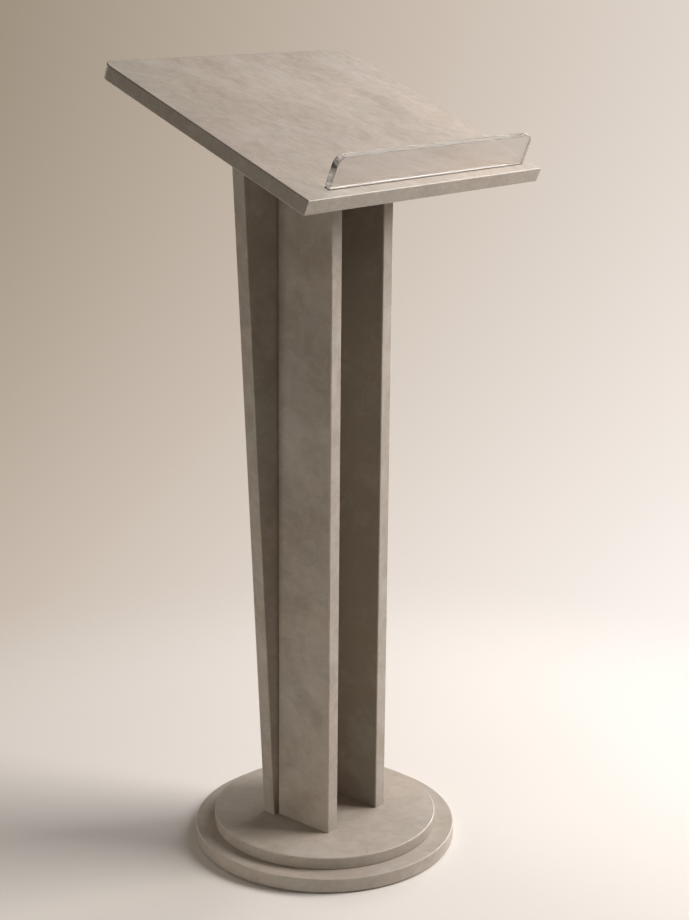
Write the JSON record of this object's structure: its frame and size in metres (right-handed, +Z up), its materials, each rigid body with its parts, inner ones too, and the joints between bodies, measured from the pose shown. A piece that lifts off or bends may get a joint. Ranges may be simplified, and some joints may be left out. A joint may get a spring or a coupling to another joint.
{
  "type": "lectern",
  "caption": "Free-standing lectern with a sloping reading board, a clear paper ledge and an open finned column on a stepped round base.",
  "frame": {"origin": "on the floor under the middle of the round base", "axes": "+Z up, -Y towards the reader, +Y towards the audience, +X to the reader's right"},
  "size_m": [0.52, 0.41, 1.2066],
  "materials": {
    "decor_board": "matt concrete-look laminate on particle board",
    "decor_edging": "matt ABS edging in the same decor",
    "clear_acrylic": "clear, flame-polished edges",
    "beech": "plain turned beech",
    "zinc_screws": "zinc plated",
    "zinc_brackets": "zinc plated, bent sheet",
    "felt": "pressed felt",
    "bonding_tape": "double-sided foam tape"
  },
  "bodies": {
    "root": {"lower_base_disc": "decor_board", "upper_base_disc": "decor_board", "facade_panel": "decor_board", "left_fin": "decor_board", "right_fin": "decor_board", "reading_board": "decor_board", "lower_base_edge_band": "decor_edging", "upper_base_edge_band": "decor_edging", "left_fin_edge_band": "decor_edging", "right_fin_edge_band": "decor_edging", "facade_left_edge_band": "decor_edging", "facade_right_edge_band": "decor_edging", "reading_board_front_band": "decor_edging", "reading_board_rim_band": "decor_edging", "paper_ledge": "clear_acrylic", "column_foot_dowels": "beech", "fin_back_dowels": "beech", "board_dowels": "beech", "base_disc_screws": "zinc_screws", "column_foot_screws": "zinc_screws", "corner_bracket_screws": "zinc_screws", "saddle_bracket_screws": "zinc_screws", "left_corner_brackets": "zinc_brackets", "right_corner_brackets": "zinc_brackets", "left_saddle_bracket": "zinc_brackets", "right_saddle_bracket": "zinc_brackets", "felt_floor_sheet": "felt", "ledge_bond_strip": "bonding_tape"}
  },
  "joints": []
}
